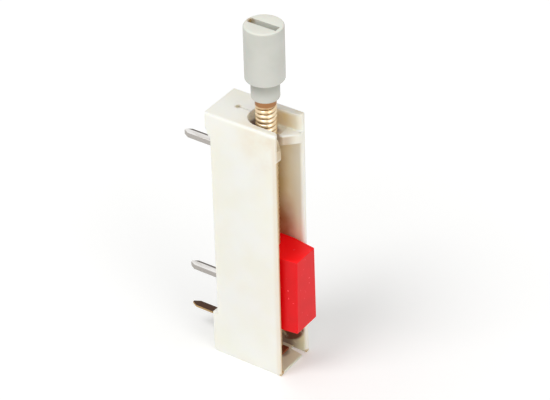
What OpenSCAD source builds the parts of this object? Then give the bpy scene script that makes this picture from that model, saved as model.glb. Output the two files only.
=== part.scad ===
// Tuning trimmer: a lead screw standing in a slotted post drives a wiper along a resistance strip.
// Frame: origin on the spindle axis in the base plane, +Z up along the spindle,
// open front towards -Y, solder pins towards +Y. Millimetres.

/* [Housing] */
// Width across the two broad sides
housing_w = 8; // [7.4:0.1:11]
// Height from the base to the top face
housing_h = 45; // [42:0.5:70]
// Distance from the open front to the spindle axis
front_d = 4.25; // [3.4:0.05:6]
// Distance from the spindle axis to the back face
back_d = 7.65; // [7:0.05:11]
// Thickness of the two side walls
side_wall = 0.8; // [0.6:0.05:1]
// Thickness of the back wall behind the strip
back_wall = 1.6; // [1.1:0.1:2.2]
// Thickness of the floor
floor_t = 0.5; // [0.4:0.05:0.8]
// Distance that the floor stays behind the open front
floor_set = 0.05; // [0.05:0.05:1]
// Radius of the upright corners at the open front
corner_r = 0.2; // [0.1:0.05:0.3]
// Radius on the inner edge of each side wall at the open front
lip_r = 0.55; // [0.2:0.05:0.6]
// Width of the relief cut between the floor and one side wall
relief_w = 1.3; // [0.4:0.1:1.6]
// Length of the relief cut from the floor's front edge
relief_l = 2.4; // [1:0.1:3]
// Height of the boss that carries the spindle's foot
boss_h = 0.4; // [0.3:0.05:0.8]
// Diameter of that boss
boss_d = 3; // [2.4:0.1:3.6]

/* [Top bearing] */
// Depth of the recess in the top face
recess_h = 3; // [2:0.1:5]
// Radius of the recess around the spindle
recess_r = 2.75; // [2.4:0.05:3.1]
// Width of the recess at the open front
recess_mouth_w = 5.8; // [5.6:0.1:6.2]
// Radius on the inner edges of the recess at the open front
mouth_r = 0.8; // [0.2:0.05:0.85]
// Thickness of the wall that holds the spindle's neck
bearing_t = 1.8; // [1.6:0.1:3.5]
// Width of the lead-in of the snap slot at the open front
lead_in_w = 5; // [3.5:0.1:5.2]
// Depth of the lead-in behind the open front
lead_in_l = 1.85; // [1:0.05:2.2]
// Amount by which the snap slot is narrower than the neck
snap = 0.3; // [0.1:0.05:0.5]
// Chamfer on the top edge of the snap slot's lips
lip_chamfer = 0.5; // [0.2:0.05:0.8]
// Radius of the small hole in the top face
peg_hole_r = 0.35; // [0.2:0.05:0.6]
// Depth of the small hole in the top face
peg_hole_h = 1; // [0.4:0.1:3]
// Distance from the spindle axis to the small hole
peg_hole_y = 5.1; // [4.4:0.1:5.6]
// Width of the fine slit from that hole to the recess
slit_w = 0.15; // [0.1:0.05:0.4]
// Depth of the fine slit
slit_h = 0.25; // [0.1:0.05:0.8]

/* [Standoffs] */
// Distance that the standoffs keep the back face off a board
standoff_d = 0.9; // [0.4:0.1:2]
// Height of the upper standoff below the top face
upper_standoff_h = 4.2; // [2:0.1:6]
// Height of the lower standoff above the base
lower_standoff_h = 7.7; // [5.5:0.1:9]
// Depth of the bevel on the lower edge of each standoff
standoff_bevel = 0.6; // [0.1:0.05:0.8]
// Rise of the bevel on the upper standoff
upper_bevel_rise = 1.4; // [0.2:0.1:1.8]
// Rise of the bevel on the lower standoff
lower_bevel_rise = 0.5; // [0.2:0.1:1.8]
// Radius of the upright corners of the standoffs
standoff_r = 0.7; // [0.2:0.05:0.85]

/* [Spindle] */
// Outer diameter of the thread
thread_d = 3.3; // [2.9:0.1:3.6]
// Depth of the thread
thread_depth = 0.35; // [0.15:0.05:0.45]
// Rise of the thread in one turn
thread_pitch = 0.8; // [0.5:0.05:1.25]
// Diameter of the neck that turns in the top bearing
neck_d = 1.6; // [1.4:0.1:2.5]
// Height of the lower thread end above the spindle's shoulder
thread_start = 0.9; // [0.3:0.1:2]
// Height to which the thread stands above the housing's top face
thread_stand = 2.6; // [1:0.1:6]
// Diameter of the plain end that the knob sits on
shank_d = 2.6; // [2:0.1:2.9]
// Diameter of the pivot at the foot
pivot_d = 1.2; // [0.8:0.1:1.6]
// Depth that the pivot reaches into the floor boss
pivot_deep = 0.55; // [0.3:0.05:0.6]

/* [Knob] */
// Diameter of the knob
knob_d = 6.15; // [5.5:0.05:9]
// Height of the knob above its collar
knob_h = 9.1; // [6:0.05:14]
// Diameter of the collar under the knob
collar_d = 4.4; // [4:0.1:5.2]
// Height of the collar
collar_h = 3.3; // [2:0.1:6]
// Clear height between the housing's top face and the collar
knob_clear = 3.5; // [2.8:0.1:8]
// Radius on the knob's edges
knob_edge_r = 0.2; // [0.1:0.05:0.6]
// Radius on the collar's lower edge
collar_edge_r = 0.2; // [0.1:0.05:0.6]
// Width of the screwdriver slot
slot_w = 1.1; // [0.6:0.1:1.6]
// Length of the screwdriver slot
slot_l = 4.9; // [3:0.1:5.3]
// Depth of the screwdriver slot
slot_h = 1.2; // [0.5:0.1:2.5]
// Turn of the screwdriver slot from the depth direction, in degrees
slot_turn = 0; // [0:1:90]
// Depth of the knob's bore from the collar's lower face
knob_bore_h = 8.6; // [4:0.1:9]

/* [Slider] */
// Height of the slider's block
slider_h = 13.5; // [8:0.5:15]
// Height of the slider's underside above the base, at rest
slider_z = 8.55; // [3:0.05:24]
// Distance that the slider's nose stands out of the open front
nose_out = 2.4; // [1:0.1:5]
// Width of the nose's front face at its top
nose_top_w = 4.8; // [3:0.1:5]
// Width of the nose's front face at its foot
nose_foot_w = 5.3; // [3:0.1:5.6]
// Distance behind the open front where the nose's taper starts, at half height
taper_in = 0.8; // [0:0.05:1]
// Height of the contact above the slider's underside
contact_h = 10.9; // [4:0.1:11.5]
// Thickness of the contact spring's leaf
leaf_t = 0.15; // [0.1:0.05:0.25]
// Width of the contact spring's leaf
leaf_w = 2.4; // [1.4:0.1:4]

/* [Resistance strip] */
// Thickness of the strip
strip_t = 0.8; // [0.5:0.1:1.2]
// Width of the carbon track
track_w = 2.6; // [2.2:0.1:5]
// Thickness of the carbon track
track_t = 0.05; // [0.03:0.01:0.1]
// Length of strip beyond each eyelet's centre
strip_end = 1.05; // [1.05:0.05:1.15]
// Outer diameter of the eyelets
eyelet_d = 1.2; // [0.9:0.1:1.4]
// Wall thickness of the eyelets
eyelet_wall = 0.2; // [0.1:0.05:0.3]
// Diameter of the eyelets' flanges
eyelet_flange_d = 2; // [1.7:0.1:2.1]
// Thickness of the eyelets' flanges
eyelet_flange_t = 0.2; // [0.1:0.05:0.3]

/* [Solder pins] */
// Height of the lower end pin above the base
lower_pin_z = 12; // [11:0.1:14]
// Distance of the upper end pin below the top face
upper_pin_drop = 8; // [7.9:0.1:12]
// Height of the wiper pin above the base
wiper_pin_z = 4.25; // [3:0.05:5]
// Length of the pins beyond the back face
pin_l = 7.65; // [3:0.05:15]
// Width of the end pins
end_pin_w = 1.4; // [0.6:0.05:1.6]
// Height of the end pins
end_pin_h = 0.9; // [0.5:0.05:1]
// Width of the wiper pin
wiper_pin_w = 1.4; // [0.8:0.05:2]
// Thickness of the wiper pin and of the blade that it is bent from
wiper_pin_t = 0.35; // [0.25:0.05:0.5]
// Length of the points
point_l = 1; // [0.5:0.1:1.5]
// Width left at the tips
tip_w = 0.3; // [0.1:0.05:0.5]
// Width of the flat tabs of the end pins
tab_w = 2.4; // [2:0.1:3.6]
// Thickness of the flat tabs of the end pins
tab_t = 0.4; // [0.2:0.05:0.5]
// Width of the wiper pin's blade under the spindle
blade_w = 3.3; // [2:0.1:4.5]
// Reach of that blade in front of the spindle axis
blade_reach = 2; // [1.2:0.1:2.6]

/* [Fits] */
// Radial clearance of the neck and the pivot
turn_gap = 0.05; // [0.02:0.01:0.1]
// End clearance of the neck and the shoulder
end_gap = 0.05; // [0.03:0.01:0.1]
// Clearance of the slider on each side wall
slide_gap = 0.25; // [0.05:0.01:0.3]
// Radial clearance of the slider on the thread's crests
nut_gap = 0.06; // [0.03:0.01:0.1]
// Clearance of the pins in the back wall
pin_gap = 0.05; // [0.02:0.01:0.1]
// Clearance of the strip on each side wall
strip_gap = 0.1; // [0.05:0.01:0.3]
// Gap between a contact's tip and what it runs on
touch_gap = 0.05; // [0.03:0.01:0.1]
// Room for the contact spring between the slider and the track
spring_room = 0.85; // [0.7:0.05:1.2]
// Interference of the knob on its shank, on radius
press = 0.02; // [0.01:0.01:0.05]

/* [Hidden] */
$fn = 64;
// Overshoot of every cut past the face that it opens
cut = 0.5;

// Housing levels and inner faces
channel_w = housing_w - 2 * side_wall;
channel_back_y = back_d - back_wall;
recess_z = housing_h - recess_h;
channel_top_z = recess_z - bearing_t;
boss_z = floor_t + boss_h;
standoff_y = back_d + standoff_d;
pin_end_y = back_d + pin_l;
snap_w = neck_d - snap;

// Strip, track and slider, stacked forwards from the channel's back face
strip_y = channel_back_y - strip_t;
track_y = strip_y - track_t;
slider_back_y = track_y - spring_room;
slider_w = channel_w - 2 * slide_gap;
nose_y = -front_d - nose_out;
nut_r = thread_d / 2 + nut_gap;

// Spindle levels
shoulder_z = boss_z + wiper_pin_t + end_gap;
thread_z = shoulder_z + thread_start;
neck_z = channel_top_z - end_gap;
neck_top_z = recess_z + end_gap;
thread_top_z = housing_h + thread_stand;
collar_z = housing_h + knob_clear;
knob_z = collar_z + collar_h;
knob_top_z = knob_z + knob_h;
shank_top_z = collar_z + knob_bore_h - 0.2;
root_r = thread_d / 2 - thread_depth;
crest_flat = thread_pitch / 8;

// Heights of the end pins, and of the eyelets beyond them
upper_pin_z = housing_h - upper_pin_drop;
eyelet_shift = end_pin_h / 2 + eyelet_flange_d / 2 + 0.1;
upper_eyelet_z = upper_pin_z + eyelet_shift;
lower_eyelet_z = lower_pin_z - eyelet_shift;
clinch_y = channel_back_y + tab_t;

// Contact spring: height of its bump, and of its tongue that touches the spindle
bump_h = 1;
tongue_w = 1;
tongue_h = 1.2;
window_gap = 0.3;

// Plan outline of the housing's body, with rounded corners at the open front and a square back
module body_plan() {
    hx = housing_w / 2;
    translate([-hx + corner_r, -front_d]) square([housing_w - 2 * corner_r, front_d + back_d]);
    translate([-hx, -front_d + corner_r]) square([housing_w, front_d + back_d - corner_r]);
    for (s = [-1, 1]) translate([s * (hx - corner_r), -front_d + corner_r]) circle(corner_r);
}

// Cutter that rounds an upright edge at the origin, of a solid towards +X and +Y
module upright_cutter(r, height) {
    difference() {
        translate([-cut, -cut, 0]) cube([r + cut, r + cut, height]);
        translate([r, r, -cut]) cylinder(r = r, h = height + 2 * cut);
    }
}

// Standoff between two heights, with a bevel on its lower edge and rounded upright corners
module standoff(z0, z1, bevel_rise) {
    difference() {
        translate([-housing_w / 2, 0, 0])
            rotate([90, 0, 90])
                linear_extrude(height = housing_w)
                    polygon([
                        [back_d - cut, z0], [standoff_y - standoff_bevel, z0],
                        [standoff_y, z0 + bevel_rise], [standoff_y, z1], [back_d - cut, z1]
                    ]);
        for (s = [0, 1]) mirror([s, 0, 0])
            translate([-housing_w / 2, standoff_y, z0 - cut]) mirror([0, 1, 0])
                upright_cutter(standoff_r, z1 - z0 + 2 * cut);
    }
}

// Channel behind the open front, from the floor up to the bearing wall
module channel() {
    translate([-channel_w / 2, -front_d - cut, floor_t])
        cube([channel_w, front_d + channel_back_y + cut, channel_top_z - floor_t]);
}

// U-shaped recess in the top face, which widens to its mouth in the open front
module top_recess() {
    mouth_x = recess_mouth_w / 2 + (recess_mouth_w / 2 - recess_r) * cut / front_d;
    mouth_y = -front_d - cut;
    translate([0, 0, recess_z]) {
        cylinder(r = recess_r, h = recess_h + cut);
        linear_extrude(height = recess_h + cut)
            polygon([[-recess_r, 0], [-mouth_x, mouth_y], [mouth_x, mouth_y], [recess_r, 0]]);
    }
    for (s = [0, 1]) mirror([s, 0, 0])
        translate([-recess_mouth_w / 2, -front_d, recess_z]) mirror([1, 0, 0])
            upright_cutter(mouth_r, recess_h + cut);
}

// Neck bearing with its snap slot and the tapered lead-in
module bearing_slot() {
    slot_y = -front_d + lead_in_l;
    slope = (lead_in_w - snap_w) / 2 / lead_in_l;
    mouth_x = lead_in_w / 2 + slope * cut;
    mouth_y = -front_d - cut;
    translate([0, 0, channel_top_z - cut]) {
        cylinder(d = neck_d + 2 * turn_gap, h = bearing_t + 2 * cut);
        linear_extrude(height = bearing_t + 2 * cut)
            polygon([
                [-snap_w / 2, 0], [-snap_w / 2, slot_y], [-mouth_x, mouth_y],
                [mouth_x, mouth_y], [snap_w / 2, slot_y], [snap_w / 2, 0]
            ]);
    }
}

// Chamfer along the front top edge of the bearing wall's lips
module lip_edge() {
    translate([-recess_mouth_w / 2, 0, 0])
        rotate([90, 0, 90])
            linear_extrude(height = recess_mouth_w)
                polygon([
                    [-front_d - cut, recess_z + cut], [-front_d - cut, recess_z - lip_chamfer],
                    [-front_d, recess_z - lip_chamfer], [-front_d + lip_chamfer, recess_z],
                    [-front_d + lip_chamfer, recess_z + cut]
                ]);
}

// Small hole in the top face and the fine slit that joins it to the recess
module peg_hole() {
    translate([0, peg_hole_y, housing_h - peg_hole_h]) cylinder(r = peg_hole_r, h = peg_hole_h + cut);
    translate([-slit_w / 2, 0, housing_h - slit_h]) cube([slit_w, peg_hole_y, slit_h + cut]);
}

// Room in the back wall for one end pin, its tab and the clinched side of its eyelet
module terminal_room(pin_z, eyelet_z) {
    low_z = min(pin_z - end_pin_h / 2, eyelet_z - eyelet_flange_d / 2) - pin_gap;
    high_z = max(pin_z + end_pin_h / 2, eyelet_z + eyelet_flange_d / 2) + pin_gap;
    translate([-tab_w / 2 - pin_gap, channel_back_y - cut, low_z])
        cube([tab_w + 2 * pin_gap, tab_t + cut, high_z - low_z]);
    translate([0, channel_back_y, eyelet_z]) rotate([-90, 0, 0])
        cylinder(d = eyelet_flange_d + 2 * pin_gap, h = tab_t + eyelet_flange_t + pin_gap);
    translate([-end_pin_w / 2 - pin_gap, channel_back_y, pin_z - end_pin_h / 2 - pin_gap])
        cube([end_pin_w + 2 * pin_gap, back_wall + standoff_d + cut, end_pin_h + 2 * pin_gap]);
}

// Slit in the back wall and the lower standoff for the wiper pin
module wiper_room() {
    translate([-wiper_pin_w / 2 - pin_gap, channel_back_y - cut, wiper_pin_z - wiper_pin_t / 2 - pin_gap])
        cube([wiper_pin_w + 2 * pin_gap, back_wall + standoff_d + 2 * cut, wiper_pin_t + 2 * pin_gap]);
}

module housing() {
    color("ivory") difference() {
        union() {
            difference() {
                union() {
                    linear_extrude(height = housing_h) body_plan();
                    standoff(0, lower_standoff_h, lower_bevel_rise);
                    standoff(housing_h - upper_standoff_h, housing_h, upper_bevel_rise);
                }
                channel();
            }
            cylinder(d = boss_d, h = boss_z);
        }
        top_recess();
        bearing_slot();
        lip_edge();
        peg_hole();
        for (s = [0, 1]) mirror([s, 0, 0])
            translate([-channel_w / 2, -front_d, floor_t]) mirror([1, 0, 0])
                upright_cutter(lip_r, channel_top_z - floor_t);
        translate([-channel_w / 2, -front_d - cut, -cut])
            cube([channel_w, floor_set + cut, floor_t + 2 * cut]);
        translate([channel_w / 2, -front_d + floor_set, -cut])
            linear_extrude(height = floor_t + 2 * cut)
                polygon([[0, -cut], [-relief_w, -cut], [-0.7 * relief_w, relief_l], [0, relief_l]]);
        translate([0, 0, boss_z - pivot_deep - end_gap])
            cylinder(d = pivot_d + 2 * turn_gap, h = pivot_deep + end_gap + cut);
        terminal_room(upper_pin_z, upper_eyelet_z);
        terminal_room(lower_pin_z, lower_eyelet_z);
        wiper_room();
    }
}

// Profile points of a thread's ridges between two heights, as rings one pitch apart
function ridges(z0, z1) =
    let (turns = floor((z1 - z0) / thread_pitch), flank = (thread_pitch - 2 * crest_flat) / 2)
    [for (i = [0 : turns - 1])
        let (z = z0 + i * thread_pitch)
        each [
            [root_r, z], [root_r, z + crest_flat],
            [thread_d / 2, z + crest_flat + flank], [thread_d / 2, z + 2 * crest_flat + flank]
        ],
     [root_r, z0 + turns * thread_pitch]];

module spindle() {
    pivot_z = boss_z - pivot_deep;
    color("peru") rotate_extrude()
        polygon(concat(
            [[0, pivot_z], [pivot_d / 2, pivot_z], [pivot_d / 2, shoulder_z], [root_r, shoulder_z]],
            ridges(thread_z, neck_z),
            [[root_r, neck_z], [neck_d / 2, neck_z], [neck_d / 2, neck_top_z], [root_r, neck_top_z]],
            ridges(neck_top_z + crest_flat, thread_top_z),
            [[thread_d / 2, thread_top_z], [thread_d / 2, collar_z], [shank_d / 2, collar_z],
             [shank_d / 2, shank_top_z], [0, shank_top_z]]
        ));
}

module knob() {
    e = knob_edge_r;
    c = collar_edge_r;
    color("lightgray") difference() {
        union() {
            rotate_extrude() {
                translate([0, collar_z]) square([collar_d / 2 - c, collar_h]);
                translate([0, collar_z + c]) square([collar_d / 2, collar_h]);
                translate([collar_d / 2 - c, collar_z + c]) circle(c, $fn = 32);
            }
            rotate_extrude() {
                translate([0, knob_z]) square([knob_d / 2 - e, knob_h]);
                translate([0, knob_z + e]) square([knob_d / 2, knob_h - 2 * e]);
                for (z = [knob_z + e, knob_top_z - e])
                    translate([knob_d / 2 - e, z]) circle(e, $fn = 32);
            }
        }
        translate([0, 0, collar_z - cut]) cylinder(d = shank_d - 2 * press, h = knob_bore_h + cut);
        rotate([0, 0, slot_turn])
            translate([-slot_w / 2, -slot_l / 2, knob_top_z - slot_h]) cube([slot_w, slot_l, slot_h + cut]);
    }
}

// Cutter for the drafted side of the slider's nose, on the +X side
module nose_side_cutter() {
    half_w = (nose_top_w + nose_foot_w) / 4;
    side_l = nose_out + taper_in;
    taper = atan((slider_w / 2 - half_w) / side_l);
    draft = atan((nose_foot_w - nose_top_w) / 2 * cos(taper) / slider_h);
    size = 2 * slider_h;
    translate([half_w, nose_y, slider_z + slider_h / 2])
        rotate([0, 0, -taper]) rotate([0, -draft, 0])
            translate([0, -size / 2, -size / 2]) cube(size);
}

module slider() {
    color("crimson") difference() {
        translate([-slider_w / 2, nose_y, slider_z]) cube([slider_w, slider_back_y - nose_y, slider_h]);
        nose_side_cutter();
        mirror([1, 0, 0]) nose_side_cutter();
        translate([0, 0, slider_z - cut]) cylinder(r = nut_r, h = slider_h + 2 * cut);
        // window through which the spring's tongue reaches the spindle
        translate([-tongue_w / 2 - window_gap, 0, slider_z + slider_h / 3 - tongue_h / 2 - window_gap])
            cube([tongue_w + 2 * window_gap, slider_back_y + cut, tongue_h + 2 * window_gap]);
    }
}

// Leaf with a bump that runs on the track and a tongue that runs on the spindle
module contact_spring() {
    y = slider_back_y;
    contact_z = slider_z + contact_h;
    bump_y = track_y - touch_gap;
    base_z = slider_z + 1;
    tongue_z = slider_z + slider_h / 3;
    color("darkgoldenrod") {
        translate([-leaf_w / 2, 0, 0]) rotate([90, 0, 90]) linear_extrude(height = leaf_w)
            polygon([
                [y, base_z], [y + leaf_t, base_z], [y + leaf_t, contact_z - 3 * bump_h],
                [bump_y, contact_z - bump_h / 4], [bump_y, contact_z + bump_h / 4],
                [y + leaf_t, contact_z + bump_h], [y + leaf_t, contact_z + bump_h + leaf_t],
                [y, contact_z + bump_h + leaf_t], [y, contact_z + bump_h - leaf_t],
                [bump_y - leaf_t, contact_z], [y, contact_z - 3 * bump_h]
            ]);
        translate([-tongue_w / 2, thread_d / 2 + touch_gap, tongue_z - tongue_h / 2])
            cube([tongue_w, y - thread_d / 2 - touch_gap + leaf_t, leaf_t]);
    }
}

module resistor_strip() {
    strip_w = channel_w - 2 * strip_gap;
    low_z = lower_eyelet_z - strip_end;
    high_z = upper_eyelet_z + strip_end;
    color("sienna") difference() {
        translate([-strip_w / 2, strip_y, low_z]) cube([strip_w, strip_t, high_z - low_z]);
        for (z = [lower_eyelet_z, upper_eyelet_z])
            translate([0, strip_y - cut, z]) rotate([-90, 0, 0])
                cylinder(d = eyelet_d + 2 * pin_gap, h = strip_t + 2 * cut);
    }
}

module carbon_track() {
    low_z = lower_eyelet_z - eyelet_flange_d / 2;
    high_z = upper_eyelet_z + eyelet_flange_d / 2;
    color("dimgray") difference() {
        translate([-track_w / 2, track_y, low_z]) cube([track_w, track_t, high_z - low_z]);
        for (z = [lower_eyelet_z, upper_eyelet_z])
            translate([0, track_y - cut, z]) rotate([-90, 0, 0])
                cylinder(d = eyelet_d + 2 * pin_gap, h = track_t + 2 * cut);
    }
}

// Bar along +Y with a point at its end, from y0 to the pins' common end
module pointed_pin(y0, width, height, z) {
    translate([0, 0, z - height / 2]) linear_extrude(height = height)
        polygon([
            [-width / 2, y0], [width / 2, y0], [width / 2, pin_end_y - point_l],
            [tip_w / 2, pin_end_y], [-tip_w / 2, pin_end_y], [-width / 2, pin_end_y - point_l]
        ]);
}

// End terminal: a tab clamped behind the strip, and a solder pin bent out of it
module terminal(pin_z, eyelet_z) {
    low_z = min(pin_z - end_pin_h / 2, eyelet_z - eyelet_flange_d / 2);
    high_z = max(pin_z + end_pin_h / 2, eyelet_z + eyelet_flange_d / 2);
    difference() {
        union() {
            translate([-tab_w / 2, channel_back_y, low_z]) cube([tab_w, tab_t, high_z - low_z]);
            pointed_pin(channel_back_y, end_pin_w, end_pin_h, pin_z);
        }
        translate([0, channel_back_y - cut, eyelet_z]) rotate([-90, 0, 0])
            cylinder(d = eyelet_d + 2 * pin_gap, h = tab_t + 2 * cut);
    }
}

module upper_terminal() { color("gainsboro") terminal(upper_pin_z, upper_eyelet_z); }

module lower_terminal() { color("gainsboro") terminal(lower_pin_z, lower_eyelet_z); }

// Eyelet that clamps a terminal's tab, the strip and the end of the track
module eyelet(z) {
    front_y = track_y - eyelet_flange_t;
    back_y = clinch_y + eyelet_flange_t;
    translate([0, front_y, z]) rotate([-90, 0, 0]) difference() {
        union() {
            cylinder(d = eyelet_flange_d, h = eyelet_flange_t);
            cylinder(d = eyelet_d, h = back_y - front_y);
            translate([0, 0, clinch_y - front_y]) cylinder(d = eyelet_flange_d, h = eyelet_flange_t);
        }
        translate([0, 0, -cut]) cylinder(d = eyelet_d - 2 * eyelet_wall, h = back_y - front_y + 2 * cut);
    }
}

module upper_eyelet() { color("silver") eyelet(upper_eyelet_z); }

module lower_eyelet() { color("silver") eyelet(lower_eyelet_z); }

// Wiper terminal: a blade under the spindle's shoulder, a riser and the third solder pin
module wiper_terminal() {
    riser_y = channel_back_y - wiper_pin_t;
    pin_top_z = wiper_pin_z + wiper_pin_t / 2;
    color("saddlebrown") difference() {
        union() {
            translate([-blade_w / 2, -blade_reach, boss_z])
                cube([blade_w, blade_reach + channel_back_y, wiper_pin_t]);
            translate([-blade_w / 2, riser_y, boss_z]) cube([blade_w, wiper_pin_t, pin_top_z - boss_z]);
            pointed_pin(riser_y, wiper_pin_w, wiper_pin_t, wiper_pin_z);
        }
        translate([0, 0, boss_z - cut]) cylinder(d = pivot_d + 2 * turn_gap, h = wiper_pin_t + 2 * cut);
    }
}

housing();
spindle();
knob();
slider();
contact_spring();
resistor_strip();
carbon_track();
upper_terminal();
lower_terminal();
upper_eyelet();
lower_eyelet();
wiper_terminal();
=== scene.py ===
"""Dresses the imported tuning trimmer: moulded edges, the rolled thread, the finishes and the studio.

The classes below give lengths in millimetres, and a mesh becomes metres when its piece is placed.
The frame is the part's own: origin on the spindle axis in the base plane, +Z up along the spindle,
open front towards -Y, solder pins towards +Y.
"""

import logging
import math
from collections.abc import Callable, Mapping, Sequence
from dataclasses import dataclass
from enum import Enum
from functools import lru_cache
from typing import Any

import bmesh
import bpy
from mathutils import Matrix, Vector


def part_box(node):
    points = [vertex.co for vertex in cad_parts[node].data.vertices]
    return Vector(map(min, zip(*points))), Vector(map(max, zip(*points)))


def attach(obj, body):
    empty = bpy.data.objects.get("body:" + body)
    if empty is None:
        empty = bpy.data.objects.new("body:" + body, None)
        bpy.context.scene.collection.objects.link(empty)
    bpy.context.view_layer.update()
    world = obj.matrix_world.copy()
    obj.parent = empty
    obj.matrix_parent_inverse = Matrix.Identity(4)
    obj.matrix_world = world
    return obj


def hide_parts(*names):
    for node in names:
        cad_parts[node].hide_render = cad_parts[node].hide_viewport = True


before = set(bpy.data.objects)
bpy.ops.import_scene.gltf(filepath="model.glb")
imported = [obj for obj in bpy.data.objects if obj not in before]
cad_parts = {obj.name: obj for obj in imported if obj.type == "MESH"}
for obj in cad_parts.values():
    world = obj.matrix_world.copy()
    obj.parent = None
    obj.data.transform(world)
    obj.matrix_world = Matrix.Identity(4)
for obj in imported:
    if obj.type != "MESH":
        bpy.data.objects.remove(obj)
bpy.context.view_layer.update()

log = logging.getLogger("trimmer")

# Metres in a millimetre
MM = 0.001
# Vertices closer than this are one vertex, in millimetres
WELD = 0.0005
# Places closer than this count as the same place, in millimetres
NEAR = 0.01


class Body(Enum):
    """The bodies of the mechanism that pieces ride on."""

    POST = "post"
    SCREW = "screw"
    CARRIAGE = "carriage"


class Slot(Enum):
    """The record's material slots."""

    CREAM = "cream_plastic"
    BRASS = "brass"
    GREY = "grey_plastic"
    RED = "red_plastic"
    BRONZE = "bronze"
    PHENOLIC = "phenolic_paper"
    CARBON = "carbon_ink"
    TINNED = "tinned_metal"


class Union(Enum):
    """Ways to combine two solids."""

    JOIN = "UNION"
    CUT = "DIFFERENCE"


# ---------------------------------------------------------------------------------------------
# Nodes of a material
# ---------------------------------------------------------------------------------------------


def linear(hex_colour: str) -> tuple[float, float, float, float]:
    """Turns an sRGB hex colour into linear light.

    Args:
        hex_colour: The colour as #RRGGBB.

    Returns:
        Red, green, blue and an alpha of 1.
    """
    channels = [int(hex_colour[i : i + 2], 16) / 255 for i in (1, 3, 5)]
    red, green, blue = (c / 12.92 if c <= 0.04045 else ((c + 0.055) / 1.055) ** 2.4 for c in channels)
    return red, green, blue, 1.0


def add_node(
    tree: bpy.types.NodeTree,
    kind: str,
    settings: Mapping[Any, Any] | None = None,
    links: Mapping[Any, bpy.types.NodeSocket] | None = None,
) -> bpy.types.Node:
    """Adds one node with its settings and links.

    Args:
        tree: The node tree that receives the node.
        kind: The node's type, without its ShaderNode prefix.
        settings: Values of the node's properties, or of its inputs by name or number.
        links: Sockets to join to the node's inputs, by name or number.

    Returns:
        The new node.
    """
    node = tree.nodes.new("ShaderNode" + kind)
    for key, value in (settings or {}).items():
        if isinstance(key, str) and hasattr(node, key):
            setattr(node, key, value)
        else:
            node.inputs[key].default_value = value
    for key, socket in (links or {}).items():
        tree.links.new(socket, node.inputs[key])
    return node


Socket = bpy.types.NodeSocket
# One soft edge of a patch: the value it is read from, where the patch is gone and where it is full
Edge = tuple[Socket, float, float]


class Nodes:
    """A material's node tree, with the patterns that the finishes share."""

    def __init__(self, tree: bpy.types.NodeTree) -> None:
        """Starts on a tree with the place on the piece in millimetres.

        Args:
            tree: The material's node tree.
        """
        self.tree = tree
        coordinates = self.add("TexCoord")
        scale = Vector((1, 1, 1)) / MM
        mapping = self.add("Mapping", {"Scale": scale}, {"Vector": coordinates.outputs["Object"]})
        self.place = mapping.outputs["Vector"]

    def add(
        self,
        kind: str,
        settings: Mapping[Any, Any] | None = None,
        links: Mapping[Any, Socket] | None = None,
    ) -> bpy.types.Node:
        """Adds one node to this tree, as add_node does."""
        return add_node(self.tree, kind, settings, links)

    def clouds(self, size: float, detail: float = 2.0, stretch: Sequence[float] = (1, 1, 1)) -> Socket:
        """Makes a cloudy pattern.

        Args:
            size: Size of one cloud in millimetres.
            detail: How many finer layers lie on it.
            stretch: How much longer a cloud is along X, Y and Z.

        Returns:
            The pattern's value, from 0 to 1.
        """
        stretched = self.add("Mapping", {"Scale": [1 / s for s in stretch]}, {"Vector": self.place})
        settings = {"Scale": 1 / size, "Detail": detail}
        return self.add("TexNoise", settings, {"Vector": stretched.outputs["Vector"]}).outputs["Fac"]

    def patch(self, *edges: Edge, within: Sequence[Socket] = (), share: float = 1.0) -> Socket:
        """Bounds a patch by soft edges.

        Args:
            edges: For each edge the value it is read from, where the patch is gone and where it is full.
            within: Shares of other patches that this one stays within.
            share: How strong the patch is where it is full.

        Returns:
            The patch's share, from 0 to 1.
        """
        parts = list(within)
        for value, gone, full in edges:
            settings = {"interpolation_type": "SMOOTHSTEP", "From Min": gone, "From Max": full}
            settings["To Max"] = share
            parts.append(self.add("MapRange", settings, {"Value": value}).outputs["Result"])
            share = 1.0
        whole = parts[0]
        for part in parts[1:]:
            whole = self.add("Math", {"operation": "MULTIPLY"}, {0: whole, 1: part}).outputs["Value"]
        return whole

    def coat(self, ground: str, *layers: tuple[Any, ...]) -> Socket:
        """Lays tones over a ground colour, one after the other.

        Args:
            ground: The ground as an sRGB hex colour.
            layers: For each layer its tone as an sRGB hex colour and its shares, of which the largest counts.

        Returns:
            The colour that shows.
        """
        settings, below = {"data_type": "RGBA", 6: linear(ground)}, {}
        for tone, share, *others in layers:
            for other in others:
                share = self.add("Math", {"operation": "MAXIMUM"}, {0: share, 1: other}).outputs["Value"]
            mixed = self.add("Mix", settings | {7: linear(tone)}, below | {0: share})
            settings, below = {"data_type": "RGBA"}, {6: mixed.outputs[2]}
        return below[6]

    def surface(
        self,
        shader: bpy.types.Node,
        colour: Socket,
        relief: Socket,
        depth: float,
        strength: float = 0.5,
    ) -> None:
        """Joins a colour and a fine relief to the shader.

        Args:
            shader: The material's shader.
            colour: The colour.
            relief: The relief's pattern, from 0 to 1.
            depth: How deep the relief is, in millimetres.
            strength: How much of it shows.
        """
        bump = self.add("Bump", {"Strength": strength, "Distance": depth * MM}, {"Height": relief})
        self.tree.links.new(colour, shader.inputs["Base Color"])
        self.tree.links.new(bump.outputs["Normal"], shader.inputs["Normal"])


# ---------------------------------------------------------------------------------------------
# Finishes
# ---------------------------------------------------------------------------------------------


@dataclass(frozen=True)
class Finish:
    """One material of the trimmer: what it is made of and how its surface was made."""

    name: str
    ior: float = 1.5
    roughness: float = 0.4
    metallic: float = 0.0

    def wire(self, nodes: Nodes, shader: bpy.types.Node) -> None:
        """Wires the finish's patterns to the shader."""
        raise NotImplementedError


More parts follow.
